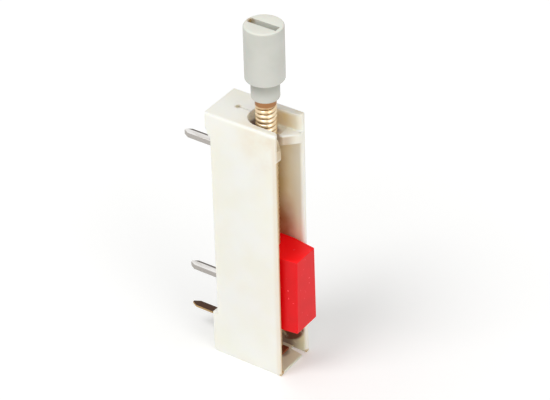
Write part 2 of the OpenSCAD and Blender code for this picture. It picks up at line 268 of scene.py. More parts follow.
@lru_cache(maxsize=None)
def material_of(finish: Finish) -> bpy.types.Material:
    """Makes the material of a finish, once.

    Args:
        finish: The finish.

    Returns:
        Its material.
    """
    material = bpy.data.materials.new(finish.name)
    material.use_nodes = True
    tree = material.node_tree
    tree.nodes.clear()
    settings = {"Roughness": finish.roughness, "Metallic": finish.metallic, "IOR": finish.ior}
    shader = add_node(tree, "BsdfPrincipled", settings)
    add_node(tree, "OutputMaterial", None, {"Surface": shader.outputs["BSDF"]})
    finish.wire(Nodes(tree), shader)
    return material


@dataclass(frozen=True)
class CreamPolyester(Finish):
    """Cream glass-filled polyester, injection moulded.

    The eye gets a soft satin skin, faintly cloudy where the melt flowed, that lets a little light in
    at its edges. Painted shade tans the channel and the recess round the spindle, darker deeper in,
    with a painted red reflection of the slider and painted highlights on the near rim and the ledge.
    """

    name: str = "cream_polyester_moulded"
    ior: float = 1.57
    roughness: float = 0.46
    pale: str = "#F7F6EE"
    warm: str = "#F5F3E6"
    # The next two tones paint the shade in the channel and the recess, the second where it is deepest
    film: str = "#E1C88C"
    deep_shade: str = "#A37B3C"
    # This tone is grease, and also paints the shadow under the slider and the shade low on the walls
    grease: str = "#6C3014"
    # This tan is a stain at the small hole and the foot, and painted shade on the near wall's front faces
    tan_stain_and_shade: str = "#CDB283"
    # This tone is a painted red reflection of the slider on the channel walls
    painted_red_bounce: str = "#A04810"
    aged: str = "#EDDFCB"
    olive: str = "#F2F1C8"
    # This tone is a painted highlight on the near rim and the ledge
    painted_highlight: str = "#FFFEF4"
    cloud: float = 9.0
    grain: float = 0.12
    channel_half: float = 3.2
    front_y: float = -4.25
    strip_y: float = 6.05
    floor_z: float = 0.55
    bearing_z: float = 40.2
    recess_z: float = 42.0
    rim_z: float = 45.0
    peg_hole: tuple[float, float, float] = (0.0, 5.1, 45.0)
    blade_tip: tuple[float, float, float] = (0.8, -1.2, 0.5)
    swag_middle: tuple[float, float, float] = (0.0, 0.0, 5.0)

    def wire(self, nodes: Nodes, shader: bpy.types.Node) -> None:
        """Wires the clouds of the moulding, the painted shade, reflection and highlights, the grease and
        stains, and the fine grain.

        Args:
            nodes: The material's nodes.
            shader: Its shader.
        """
        x, y, z = nodes.add("SeparateXYZ", links={"Vector": nodes.place}).outputs
        across = nodes.add("Math", {"operation": "ABSOLUTE"}, {0: x}).outputs["Value"]
        from_hole, from_blade = (
            nodes.add("VectorMath", {"operation": "DISTANCE", 1: point}, {0: nodes.place}).outputs["Value"]
            for point in (self.peg_hole, self.blade_tip)
        )
        side_on = nodes.add("VectorMath", {"operation": "MULTIPLY", 1: (0, 1, 1)}, {0: nodes.place})
        swag = nodes.add(
            "VectorMath", {"operation": "DISTANCE", 1: self.swag_middle}, {0: side_on.outputs["Vector"]}
        ).outputs["Value"]
        uneven = nodes.add(
            "MapRange",
            {"interpolation_type": "SMOOTHSTEP", "From Min": 0.2, "From Max": 0.75, "To Min": 0.7},
            {"Value": nodes.clouds(2.5, 4)},
        ).outputs["Result"]
        front, patch, half, strip = self.front_y, nodes.patch, self.channel_half, self.strip_y
        floor, bearing, recess, rim = self.floor_z, self.bearing_z, self.recess_z, self.rim_z
        flow = patch((nodes.clouds(self.cloud, 3), 0.35, 0.65))
        blotch = patch((nodes.clouds(1.6, 3), 0.25, 0.5))

        # The channel, with painted shade on its walls and in the recess above the bearing, deeper further in,
        # and a painted red reflection of the slider
        hollow = patch((across, half + 0.15, half), (y, strip + 0.2, strip))
        shaded_below_bearing = patch((z, bearing + 0.05, bearing - 0.05), within=(uneven, hollow))
        raised = (z, floor + 0.3, floor + 3)
        # Painted shade on the channel walls: a tan from the front and a deeper brown further back
        channel_shade = patch(raised, (y, front - 0.7, front + 5), within=(shaded_below_bearing,))
        deep_channel_shade = patch(raised, (y, front + 2.2, front + 6.5), within=(shaded_below_bearing,))
        # Painted red reflection of the slider on the walls beside it
        painted_red_bounce = patch((z, 31, 23), (z, 12, 20), (y, front + 0.8, front + 3.4), within=(shaded_below_bearing,), share=0.9)
        low_end = patch((z, floor + 5.5, floor + 2), within=(hollow,), share=0.6)
        recess_shade = patch(
            (z, recess, recess + 0.6), (x, 1, 2.2), (z, rim, rim - 0.8), (y, front - 1, front + 3.5),
            within=(uneven, hollow),
        )

        # Darker at the bottom of the recess round the neck; grease with a painted shadow under the slider's
        # low end; grease with painted shade low on the walls; a grease stain at the blade
        pit = patch(
            (z, bearing, bearing + 0.1), (y, front + 2.6, front + 3.6), (z, rim - 1.4, rim - 2.1),
            (x, 2.2, 1.5), within=(uneven, hollow),
        )
        on_wall = (across, 3.0, 3.15)
        # Grease with a painted shadow under the slider's low end
        grease_and_shadow_under_slider = patch(
            on_wall, (swag, 4.2, 3.6), (z, 6.5, 4.2), (y, 1, -0.5), within=(hollow, blotch), share=0.95
        )
        # Grease with painted shade low on the walls near the floor
        grease_and_low_shade = patch(
            on_wall, (y, front + 0.6, front + 3.4), (z, 4, 2), within=(hollow, blotch), share=0.75
        )
        drip = patch((from_blade, 1.5, 0.8), within=(uneven,), share=0.6)

        # Tan: stains at the small hole and the foot, and painted shade on the near wall's front faces above
        # and below the bearing; painted shade also in the slot of the bearing's mouth
        near = (x, 0, -1)
        hole = patch((from_hole, 0.7, 0.3), share=0.5)
        # Painted shade on the near wall's front face below the bearing
        lip_face_shade = patch(
            (across, 4.05, 3.6), (across, 3.05, 3.15), near, (y, front + 0.7, front + 0.5), (z, 40.3, 40.1)
        )
        # Painted shade on the near wall's front face above the bearing
        snap_face_shade = patch(
            (x, -3.95, -3.3), near, (z, 40.1, 40.6), (z, 44.9, 44), (y, front + 2.4, front + 1.2), share=0.75
        )
        # Painted shade in the slot of the bearing's mouth
        mouth = patch(
            (across, 2.2, 1), (y, front + 3.4, front + 2.8), (z, bearing - 0.2, bearing),
            (z, recess + 0.3, recess), within=(hollow,), share=0.6,
        )
        foot = patch((z, 0.7, 0.2), (across, 3.1, 3.2), (y, front + 0.4, front + 0.1))

        # A warmer tone along the near front edge and age at the top end; painted highlights on the near rim
        # and on the ledge in the recess
        side = patch((y, front + 1.1, front + 0.1), (across, 3.7, 3.9), near, share=0.6)
        crown = patch((z, 34, 44), (y, front + 9, front + 2), (nodes.clouds(4, 3), 0.3, 0.7), share=0.9)
        # Painted highlight along the near rim
        rim_highlight = patch((z, rim - 0.7, rim - 0.2), (x, -3.5, -3.9))
        # Painted light on the ledge in the recess
        ledge_light = patch((z, 41.5, 41.9), (z, 42.3, 42.1), (y, front + 2.6, front + 2.2), within=(hollow,))

        skin = nodes.coat(
            self.pale,
            (self.warm, flow),
            (self.film, channel_shade, recess_shade),
            (self.deep_shade, deep_channel_shade, mouth),
            (self.painted_red_bounce, painted_red_bounce),
            (self.aged, side, crown),
            (self.olive, low_end),
            (self.painted_highlight, rim_highlight, ledge_light),
            (self.tan_stain_and_shade, hole, snap_face_shade, lip_face_shade, foot),
            (self.grease, pit, grease_and_shadow_under_slider, grease_and_low_shade, drip),
        )
        nodes.surface(shader, skin, nodes.clouds(self.grain), 0.004)
        shader.inputs["Subsurface Weight"].default_value = 0.35
        shader.inputs["Subsurface Radius"].default_value = (1.0, 0.85, 0.6)
        shader.inputs["Subsurface Scale"].default_value = 1.2 * MM


@dataclass(frozen=True)
class GreyPolyamide(Finish):
    """Light grey polyamide, injection moulded, with a fine eroded skin.

    The eye gets an even, slightly greenish grey that is nearly matt.
    """

    name: str = "grey_polyamide_moulded"
    ior: float = 1.53
    roughness: float = 0.5
    pale: str = "#D0D0C8"
    dull: str = "#C9CAC1"
    # This tone is dust, and also paints the upward faces lighter as the light that falls on them
    dust_and_top_light: str = "#E9EADF"
    shade: str = "#A9AAA0"
    stain: str = "#A88C5E"
    collar_z: float = 51.8
    slot_end: tuple[float, float, float] = (0.0, 2.3, 60.5)
    grain: float = 0.1

    def wire(self, nodes: Nodes, shader: bpy.types.Node) -> None:
        """Wires the cloudy grey, the painted shadow on the collar, the upward faces paler with dust and
        painted light, the stain in the slot and the grain.

        Args:
            nodes: The material's nodes.
            shader: Its shader.
        """
        z = nodes.add("SeparateXYZ", links={"Vector": nodes.place}).outputs["Z"]
        normal = nodes.add("NewGeometry").outputs["Normal"]
        up = nodes.add("SeparateXYZ", links={"Vector": normal}).outputs["Z"]
        from_end = nodes.add("VectorMath", {"operation": "DISTANCE", 1: self.slot_end}, {0: nodes.place})
        skin = nodes.coat(
            self.pale,
            (self.dull, nodes.patch((nodes.clouds(4, 3), 0.35, 0.7))),
            # Painted shadow of the knob on the collar
            (self.shade, nodes.patch((z, self.collar_z, self.collar_z - 0.2), (z, 48.9, 51.4))),
            # Dust, and painted light on the upward faces
            (self.dust_and_top_light, nodes.patch((up, 0.3, 0.95))),
            (self.stain, nodes.patch((from_end.outputs["Value"], 0.9, 0.3))),
        )
        nodes.surface(shader, skin, nodes.clouds(self.grain), 0.004)
        shader.inputs["Subsurface Weight"].default_value = 0.08
        shader.inputs["Subsurface Scale"].default_value = 0.6 * MM


@dataclass(frozen=True)
class RedAcetal(Finish):
    """Bright red acetal, injection moulded.

    The eye gets a saturated satin red with a pale sheen at a low angle, and small scuffs; its upward faces
    are painted lighter, and it has a painted glow.
    """

    name: str = "red_acetal_moulded"
    ior: float = 1.48
    roughness: float = 0.4
    red: str = "#D2040E"
    deep: str = "#CA040B"
    # This red paints the upward faces lighter, as the light that falls on them
    painted_top_light: str = "#FF0610"
    # A painted glow: the red gives off light of its own, which lifts its shaded faces and tints the walls
    # near it
    painted_glow: float = 0.25
    scuff: str = "#EE5A64"
    grain: float = 0.15

    def wire(self, nodes: Nodes, shader: bpy.types.Node) -> None:
        """Wires the red, its upward faces painted lighter, its scuffs and the fine grain, and sets its
        painted glow.

        Args:
            nodes: The material's nodes.
            shader: Its shader.
        """
        normal = nodes.add("NewGeometry").outputs["Normal"]
        up = nodes.add("SeparateXYZ", links={"Vector": normal}).outputs["Z"]
        skin = nodes.coat(
            self.red,
            (self.deep, nodes.patch((nodes.clouds(3, 3), 0.35, 0.7))),
            # Painted light: the upward faces lighter
            (self.painted_top_light, nodes.patch((up, 0.3, 0.9))),
            (self.scuff, nodes.patch((nodes.clouds(0.7), 0.7, 0.76))),
        )
        nodes.surface(shader, skin, nodes.clouds(self.grain), 0.004)
        shader.inputs["Specular IOR Level"].default_value = 0.25
        # Painted glow from the red itself
        shader.inputs["Emission Color"].default_value = linear(self.red)
        shader.inputs["Emission Strength"].default_value = self.painted_glow
        shader.inputs["Subsurface Weight"].default_value = 0.6
        shader.inputs["Subsurface Radius"].default_value = (1.0, 0.12, 0.1)
        shader.inputs["Subsurface Scale"].default_value = 2.0 * MM


@dataclass(frozen=True)
class RolledBrass(Finish):
    """Red brass rod with a rolled thread, aged to a coppery tone.

    The eye gets bright burnished crests and dull brown grease in the roots.
    """

    name: str = "red_brass_rolled"
    roughness: float = 0.3
    metallic: float = 1.0
    bright: str = "#F5E4C6"
    coppery: str = "#E4C9A0"
    grease: str = "#8C6842"
    # This tone is a painted shadow of the knob on the plain band below it
    painted_neck_shadow: str = "#A57650"
    root_r: float = 1.3
    crest_r: float = 1.65
    band_z: float = 47.5

    def wire(self, nodes: Nodes, shader: bpy.types.Node) -> None:
        """Wires the burnished crests, the greasy roots, the painted shadow of the knob on the plain band
        under it and the fine grain.

        Args:
            nodes: The material's nodes.
            shader: Its shader.
        """
        z = nodes.add("SeparateXYZ", links={"Vector": nodes.place}).outputs["Z"]
        end_on = nodes.add("VectorMath", {"operation": "MULTIPLY", 1: (1, 1, 0)}, {0: nodes.place})
        radius = nodes.add("VectorMath", {"operation": "LENGTH"}, {0: end_on.outputs["Vector"]})
        greasy = nodes.patch((radius.outputs["Value"], self.crest_r - 0.12, self.root_r + 0.02))
        metal = nodes.coat(
            self.bright,
            (self.coppery, nodes.patch((nodes.clouds(1.5, 3), 0.3, 0.7))),
            (self.grease, greasy),
            # Painted shadow of the knob on the plain band below it
            (self.painted_neck_shadow, nodes.patch((z, self.band_z - 0.3, self.band_z))),
        )
        nodes.surface(shader, metal, nodes.clouds(0.12), 0.003, 0.4)
        rough = nodes.add("Math", {"operation": "MULTIPLY_ADD", 1: 0.25, 2: self.roughness}, {0: greasy})
        nodes.tree.links.new(rough.outputs["Value"], shader.inputs["Roughness"])


@dataclass(frozen=True)
class TinnedBrass(Finish):
    """Brass wire and strip, hot dipped in tin.

    The eye gets a grey, slightly rippled silver that has gone dull in patches.
    """

    name: str = "tinned_brass_dipped"
    roughness: float = 0.32
    metallic: float = 1.0
    bright: str = "#ECEAE7"
    dull: str = "#D2CEC9"
    # The next tones paint the pins' near sides, undersides and far edge darker, as reflections
    side: str = "#AFAAA5"
    painted_dark_reflection: str = "#6F6965"
    half_w: float = 0.7
    back_y: float = 7.65

    def wire(self, nodes: Nodes, shader: bpy.types.Node) -> None:
        """Wires the dull patches, the sides beyond the back face painted darker as reflections, and the
        ripples of the dip.

        Args:
            nodes: The material's nodes.
            shader: Its shader.
        """
        x, y, _ = nodes.add("SeparateXYZ", links={"Vector": nodes.place}).outputs
        normal = nodes.add("NewGeometry").outputs["Normal"]
        facing = nodes.add("SeparateXYZ", links={"Vector": normal}).outputs
        dull = nodes.patch((nodes.clouds(0.9, 3, (1, 3, 1)), 0.35, 0.7))
        beyond = (y, self.back_y - 0.1, self.back_y)
        metal = nodes.coat(
            self.bright,
            (self.dull, dull),
            # Painted reflections: the pins' near sides, undersides and far edge darker
            (self.side, nodes.patch(beyond, (facing["X"], -0.4, -0.9))),
            (self.painted_dark_reflection, nodes.patch(beyond, (facing["Z"], -0.1, -0.6))),
            (self.painted_dark_reflection, nodes.patch(beyond, (x, self.half_w - 0.5, self.half_w - 0.35))),
        )
        nodes.surface(shader, metal, nodes.clouds(0.4, 2, (1, 2, 1)), 0.01)
        rough = nodes.add("Math", {"operation": "MULTIPLY_ADD", 1: 0.2, 2: self.roughness - 0.08}, {0: dull})
        nodes.tree.links.new(rough.outputs["Value"], shader.inputs["Roughness"])


@dataclass(frozen=True)
class TarnishedBronze(Finish):
    """Phosphor bronze strip, stamped and left bare, tarnished brown.

    The eye gets a dark chocolate brown film, with copper showing along the worn edges.
    """

    name: str = "phosphor_bronze_tarnished"
    roughness: float = 0.5
    metallic: float = 0.7
    copper: str = "#B26F49"
    tarnish: str = "#4A3020"
    bare: str = "#A35C3C"
    edge: str = "#BD9C6C"

    def wire(self, nodes: Nodes, shader: bpy.types.Node) -> None:
        """Wires the tarnish, the copper that shows through inside and the bright near edge.

        Args:
            nodes: The material's nodes.
            shader: Its shader.
        """
        y = nodes.add("SeparateXYZ", links={"Vector": nodes.place}).outputs["Y"]
        normal = nodes.add("NewGeometry").outputs["Normal"]
        sideways = nodes.add("SeparateXYZ", links={"Vector": normal}).outputs["X"]
        inner = (y, 3, 1)
        worn = (nodes.clouds(0.6, 4, (1, 2, 1)), 0.55, 0.75)
        film = nodes.coat(
            self.tarnish,
            (self.bare, nodes.patch(inner)),
            (self.copper, nodes.patch(inner, worn)),
            (self.edge, nodes.patch((y, 7, 7.6), (sideways, -0.2, -0.6))),
        )
        nodes.surface(shader, film, nodes.clouds(0.2, 3), 0.006)


@dataclass(frozen=True)
class SpringBronze(Finish):
    """Phosphor bronze leaf, cold rolled to spring temper.

    The eye gets a clean warm metal with fine rolling lines along the leaf.
    """

    name: str = "phosphor_bronze_spring"
    roughness: float = 0.28
    metallic: float = 1.0
    bronze: str = "#D9A26E"
    shade: str = "#B77F50"

    def wire(self, nodes: Nodes, shader: bpy.types.Node) -> None:
        """Wires the rolling lines."""
        lines = nodes.clouds(0.08, 2, (1, 1, 20))
        nodes.surface(shader, nodes.coat(self.bronze, (self.shade, lines)), lines, 0.002, 0.4)


@dataclass(frozen=True)
class PaperLaminate(Finish):
    """Phenolic paper laminate, pressed in sheets and punched.

    The eye gets a brown resin gloss with paper fibres under it.
    """

    name: str = "phenolic_paper_pressed"
    ior: float = 1.6
    roughness: float = 0.35
    brown: str = "#8E5A2E"
    pale: str = "#A9733F"

    def wire(self, nodes: Nodes, shader: bpy.types.Node) -> None:
        """Wires the paper fibres."""
        fibres = nodes.clouds(0.25, 4, (1, 1, 5))
        resin = nodes.coat(self.brown, (self.pale, nodes.patch((fibres, 0.35, 0.7))))
        nodes.surface(shader, resin, fibres, 0.004, 0.4)


@dataclass(frozen=True)
class CarbonInk(Finish):
    """Carbon resistance ink, screen printed and baked.

    The eye gets a dark grey film, matt, with the print's fine mesh and one polished wiper line.
    """

    name: str = "carbon_ink_printed"
    roughness: float = 0.55
    ink: str = "#2B2A2B"
    worn: str = "#4A4846"
    mesh: float = 0.12
    line_w: float = 0.5

    def wire(self, nodes: Nodes, shader: bpy.types.Node) -> None:
        """Wires the screen's mesh and the line that the contact has polished.

        Args:
            nodes: The material's nodes.
            shader: Its shader.
        """
        x = nodes.add("SeparateXYZ", links={"Vector": nodes.place}).outputs["X"]
        across = nodes.add("Math", {"operation": "ABSOLUTE"}, {0: x}).outputs["Value"]
        film = nodes.coat(self.ink, (self.worn, nodes.patch((across, self.line_w, self.line_w / 2))))
        cells = nodes.add("TexVoronoi", {"Scale": 1 / self.mesh}, {"Vector": nodes.place})
        nodes.surface(shader, film, cells.outputs["Distance"], 0.004, 0.4)


# ---------------------------------------------------------------------------------------------
# Shapes
# ---------------------------------------------------------------------------------------------


class Shape:
    """A solid in millimetres on its way to becoming a piece."""

    def __init__(self, mesh: bmesh.types.BMesh | None = None) -> None:
        """Starts from a bmesh, or from nothing."""
        self.mesh = mesh or bmesh.new()

    @classmethod
    def of_node(cls, node: str) -> "Shape":
        """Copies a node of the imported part, with its loose triangles merged into clean faces.

        Args:
            node: The node's name.

        Returns:
            The copy.
        """
        mesh = bmesh.new()
        mesh.from_mesh(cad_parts[node].data)
        bmesh.ops.scale(mesh, vec=(1 / MM, 1 / MM, 1 / MM), verts=mesh.verts)
        bmesh.ops.remove_doubles(mesh, verts=mesh.verts, dist=WELD)
        flat = math.radians(0.5)
        bmesh.ops.dissolve_limit(mesh, angle_limit=flat, verts=mesh.verts, edges=mesh.edges)
        return cls(mesh)

    @classmethod
    def block(cls, low: Sequence[float], high: Sequence[float]) -> "Shape":
        """Makes a box.

        Args:
            low: Its lowest corner.
            high: Its highest corner.

        Returns:
            The box.
        """
        mesh = bmesh.new()
        size, middle = Vector(high) - Vector(low), (Vector(high) + Vector(low)) / 2
        place = Matrix.Translation(middle) @ Matrix.Diagonal((*size, 1))
        bmesh.ops.create_cube(mesh, size=1, matrix=place)
        return cls(mesh)

    @classmethod
    def prism(cls, outline: Sequence[tuple[float, float]], low_x: float, high_x: float) -> "Shape":
        """Extrudes an outline along X.

        Args:
            outline: Y and Z of each corner.
            low_x: Where the prism starts.
            high_x: Where it ends.

        Returns:
            The prism.
        """
        mesh = bmesh.new()
        face = mesh.faces.new([mesh.verts.new((low_x, y, z)) for y, z in outline])
        made = bmesh.ops.extrude_face_region(mesh, geom=[face], use_keep_orig=True)
        moved = [v for v in made["geom"] if isinstance(v, bmesh.types.BMVert)]
        bmesh.ops.translate(mesh, vec=(high_x - low_x, 0, 0), verts=moved)
        bmesh.ops.recalc_face_normals(mesh, faces=mesh.faces)
        return cls(mesh)

    @classmethod
    def turned(cls, outline: Sequence[tuple[float, float]], steps: int = 96) -> "Shape":
        """Spins an outline about the Z axis.

        Args:
            outline: Radius and height of each point, from the foot to the top, closed at the axis.
            steps: Faces in a full turn.

        Returns:
            The turned solid.
        """
        mesh = bmesh.new()
        points = [mesh.verts.new((r, 0, z)) for r, z in outline]
        edges = [mesh.edges.new(pair) for pair in zip(points, points[1:])]
        bmesh.ops.spin(
            mesh,
            geom=points + edges,
            cent=(0, 0, 0),
            axis=(0, 0, 1),
            angle=math.tau,
            steps=steps,
            use_merge=True,
        )
        bmesh.ops.remove_doubles(mesh, verts=mesh.verts, dist=WELD)
        bmesh.ops.recalc_face_normals(mesh, faces=mesh.faces)
        return cls(mesh)

    @classmethod
    def threaded(
        cls, root_r: float, depth: float, pitch: float, low: float, high: float, steps: int = 36
    ) -> "Shape":
        """Sweeps a right-hand thread with rounded crests, cut flat at both ends.

        Args:
            root_r: Radius at the roots.
            depth: Height of the crests over the roots.
            pitch: Rise of one turn.
            low: Height of the lower end.
            high: Height of the upper end.
            steps: Faces in a full turn.

        Returns:
            The thread as one closed solid.
        """
        mesh = bmesh.new()
        crest_points, fullness = 10, 0.7
        start = low - 1.5 * pitch
        turns = math.ceil((high - low) / pitch) + 3
        points = []
        for i in range(crest_points + 1):
            share = i / crest_points
            radius = root_r + depth * max(0.0, math.sin(math.pi * share)) ** fullness
            points.append(mesh.verts.new((radius, 0, start + pitch * share)))
        edges = [mesh.edges.new(pair) for pair in zip(points, points[1:])]
        bmesh.ops.spin(
            mesh,
            geom=points + edges,
            cent=(0, 0, 0),
            axis=(0, 0, 1),
            dvec=(0, 0, pitch / steps),
            angle=math.tau * turns,
            steps=steps * turns,
        )
        bmesh.ops.remove_doubles(mesh, verts=mesh.verts, dist=WELD)
        for height, side in ((low, -1), (high, 1)):
            bmesh.ops.bisect_plane(
                mesh,
                geom=[*mesh.verts, *mesh.edges, *mesh.faces],
                dist=WELD / 10,
                plane_co=(0, 0, height),
                plane_no=(0, 0, side),
                clear_outer=True,
            )
        rims = [e for e in mesh.edges if e.is_boundary]
        bmesh.ops.holes_fill(mesh, edges=rims, sides=0)
        bmesh.ops.recalc_face_normals(mesh, faces=mesh.faces)
        return cls(mesh)

    def combine(self, other: "Shape", how: Union) -> "Shape":
        """Joins another solid to this one, or cuts this one with it.

        Args:
            other: The other solid, which is used up.
            how: Whether it is joined or cuts.

        Returns:
            This shape.
        """
        hosts = []
        for shape in (self, other):
            data = bpy.data.meshes.new("work")
            shape.mesh.to_mesh(data)
            host = bpy.data.objects.new("work", data)
            bpy.context.scene.collection.objects.link(host)
            hosts.append(host)
        modifier = hosts[0].modifiers.new("combine", "BOOLEAN")
        modifier.operation = how.value
        modifier.solver = "EXACT"
        modifier.object = hosts[1]
        made = bpy.data.meshes.new_from_object(
            hosts[0].evaluated_get(bpy.context.evaluated_depsgraph_get())
        )
        self.mesh.clear()
        self.mesh.from_mesh(made)
        bpy.data.meshes.remove(made)
        for host in hosts:
            bpy.data.meshes.remove(host.data)
        other.mesh.free()
        bmesh.ops.remove_doubles(self.mesh, verts=self.mesh.verts, dist=WELD)
        return self

    def round_edges(
        self, chosen: Callable[[Vector], bool], radius: float, segments: int = 3, sharper: float = 40.0
    ) -> "Shape":
        """Rounds the sharp edges that a rule chooses.

        Args:
            chosen: Says of an edge's middle point whether the edge is rounded.
            radius: Width that the rounding takes off each face.
            segments: Faces across the rounding.
            sharper: Only edges that turn by more than these degrees are rounded.

        Returns:
            This shape.
        """
        edges = []
        for edge in self.mesh.edges:
            if len(edge.link_faces) != 2 or edge.calc_face_angle(0.0) < math.radians(sharper):
                continue
            if chosen((edge.verts[0].co + edge.verts[1].co) / 2):
                edges.append(edge)
        bmesh.ops.bevel(
            self.mesh,
            geom=edges,
            offset=radius,
            offset_type="OFFSET",
            affect="EDGES",
            segments=segments,
            profile=0.5,
            clamp_overlap=False,
            material=-1,
        )
        bmesh.ops.remove_doubles(self.mesh, verts=self.mesh.verts, dist=WELD)
        return self

    def piece(
        self, name: str, finish: Finish, body: Body, slot: Slot, *nodes: str, crease: float = 35.0
    ) -> bpy.types.Object:
        """Places the shape as a piece of the part.

        Args:
            name: The piece's name.
            finish: Its finish.
            body: The body that it rides on.
            slot: The record's slot for its finish; not used.
            nodes: The CAD nodes that it stands for.
            crease: Edges that turn by more than these degrees stay crisp.

        Returns:
            The piece.
        """
        bmesh.ops.scale(self.mesh, vec=(MM, MM, MM), verts=self.mesh.verts)
        data = bpy.data.meshes.new(name)
        self.mesh.to_mesh(data)
        self.mesh.free()
        data.shade_smooth()
        data.set_sharp_from_angle(angle=math.radians(crease))
        data.materials.append(material_of(finish))
        piece = bpy.data.objects.new(name, data)
        bpy.context.scene.collection.objects.link(piece)
        weighted = piece.modifiers.new("even shading", "WEIGHTED_NORMAL")
        weighted.keep_sharp = True
        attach(piece, body.value)
        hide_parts(*nodes)
        log.info("%s: %d faces, rides on %s", name, len(data.polygons), body.value)
        return piece


def dress(node: str, finish: Finish) -> bpy.types.Object:
    """Gives a CAD node that keeps its own mesh its finish.

    Args:
        node: The node's name.
        finish: Its finish.

    Returns:
        The node's object.
    """
    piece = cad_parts[node]
    piece.data.materials.clear()
    piece.data.materials.append(material_of(finish))
    log.info("%s: keeps its packed mesh", node)
    return piece


def extent(node: str) -> tuple[Vector, Vector]:
    """Gives a node's lowest and highest corner in millimetres."""
    low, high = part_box(node)
    return low / MM, high / MM


# ---------------------------------------------------------------------------------------------
# Sub-assemblies
# ---------------------------------------------------------------------------------------------


@dataclass
class Housing:
    """The moulded post: a deep channel with a bearing at its top and standoffs on its back."""

    edge_r: float = 0.18
    fine_r: float = 0.06
    bearing_r: float = 0.2
    bevel: float = 0.6
    standoffs: tuple[tuple[float, float, float], ...] = ((0.0, 7.7, 0.5), (40.8, 45.0, 1.4))
    corner_w: float = 0.8
    corner_root: float = 0.2
    front_y: float = -4.25
    back_y: float = 7.65
    bearing_low_z: float = 40.2
    throat_y: float = -2.0
    mouth_half: float = 2.8
    pin_half: float = 0.9
    slit_half: float = 0.5
    slit_y: tuple[float, float] = (2.5, 5.6)

    def build(self) -> None:
        """Fills out the standoffs' corners and rounds the moulding's edges."""
        low, high = extent("housing")

        def outside(at: Vector) -> bool:
            """Chooses the edges on the outside.

            Args:
                at: The edge's middle point.

            Returns:
                Whether the edge lies on the outside, away from the pins and the fine slit.
            """
            on_top = abs(at.z - high.z) < NEAR
            on_side = abs(abs(at.x) - high.x) < NEAR
            on_base = abs(at.z - low.z) < NEAR
            on_back = at.y > self.back_y - NEAR
            near_pin = on_back and abs(at.x) < self.pin_half
            near_slit = on_top and abs(at.x) < self.slit_half and self.slit_y[0] < at.y < self.slit_y[1]
            return (on_top or on_side or on_base or on_back) and not near_pin and not near_slit

        def far_front(at: Vector) -> bool:
            """Says whether an edge runs up the outer corner of the front, on the side of +X."""
            return at.x > high.x - NEAR and at.y < self.front_y + NEAR and low.z + 1 < at.z < high.z - 1

        def bearing(at: Vector) -> bool:
            """Says whether an edge borders the underside of the bearing's mouth."""
            level = abs(at.z - self.bearing_low_z) < NEAR
            return level and at.y < self.throat_y and abs(at.x) < self.mouth_half

        shape = Shape.of_node("housing")
        root_y = self.back_y - self.corner_root
        for low_z, high_z, rise in self.standoffs:
            outline = [
                (root_y, low_z), (high.y - self.bevel, low_z), (high.y, low_z + rise),
                (high.y, high_z), (root_y, high_z),
            ]
            for x0, x1 in ((low.x, low.x + self.corner_w), (high.x - self.corner_w, high.x)):
                shape.combine(Shape.prism(outline, x0, x1), Union.JOIN)
        bmesh.ops.dissolve_limit(
            shape.mesh, angle_limit=math.radians(0.5), verts=shape.mesh.verts, edges=shape.mesh.edges
        )
        shape.round_edges(bearing, self.bearing_r)
        shape.round_edges(lambda at: outside(at) and not far_front(at), self.edge_r, 4)
        shape.round_edges(far_front, self.fine_r, 2)
        shape.piece("housing_moulding", CreamPolyester(), Body.POST, Slot.CREAM, "housing")


@dataclass
class LeadScrew:
    """The spindle: a rolled thread in two stretches with the bearing neck between them."""

    thread_d: float = 3.3
    root_r: float = 1.3
    pitch: float = 0.8
    pivot_r: float = 0.6
    shoulder_z: float = 1.3
    thread_low_z: float = 2.2
    neck_low_z: float = 40.15
    neck_r: float = 0.8
    neck_high_z: float = 42.05
    thread_high_z: float = 47.5
    collar_z: float = 48.5
    shank_r: float = 1.3
    core_under: float = 0.04
    overlap: float = 0.02

    def build(self) -> None:
        """Turns the core and rolls both threads on it."""
        low, high = extent("spindle")
        core_r, overlap = self.root_r - self.core_under, self.overlap
        core = Shape.turned(
            [
                (0, low.z), (self.pivot_r, low.z), (self.pivot_r, self.shoulder_z),
                (self.root_r, self.shoulder_z), (self.root_r, self.thread_low_z + overlap),
                (core_r, self.thread_low_z + overlap), (core_r, self.neck_low_z - overlap),
                (self.neck_r, self.neck_low_z - overlap), (self.neck_r, self.neck_high_z + overlap),
                (core_r, self.neck_high_z + overlap), (core_r, self.thread_high_z - overlap),
                (self.thread_d / 2, self.thread_high_z - overlap), (self.thread_d / 2, self.collar_z),
                (self.shank_r, self.collar_z), (self.shank_r, high.z), (0, high.z),
            ]
        )
        depth = self.thread_d / 2 - self.root_r
        for z0, z1 in ((self.thread_low_z, self.neck_low_z), (self.neck_high_z, self.thread_high_z)):
            core.combine(Shape.threaded(self.root_r, depth, self.pitch, z0, z1), Union.JOIN)
        core.piece("lead_screw", RolledBrass(), Body.SCREW, Slot.BRASS, "spindle", crease=50)


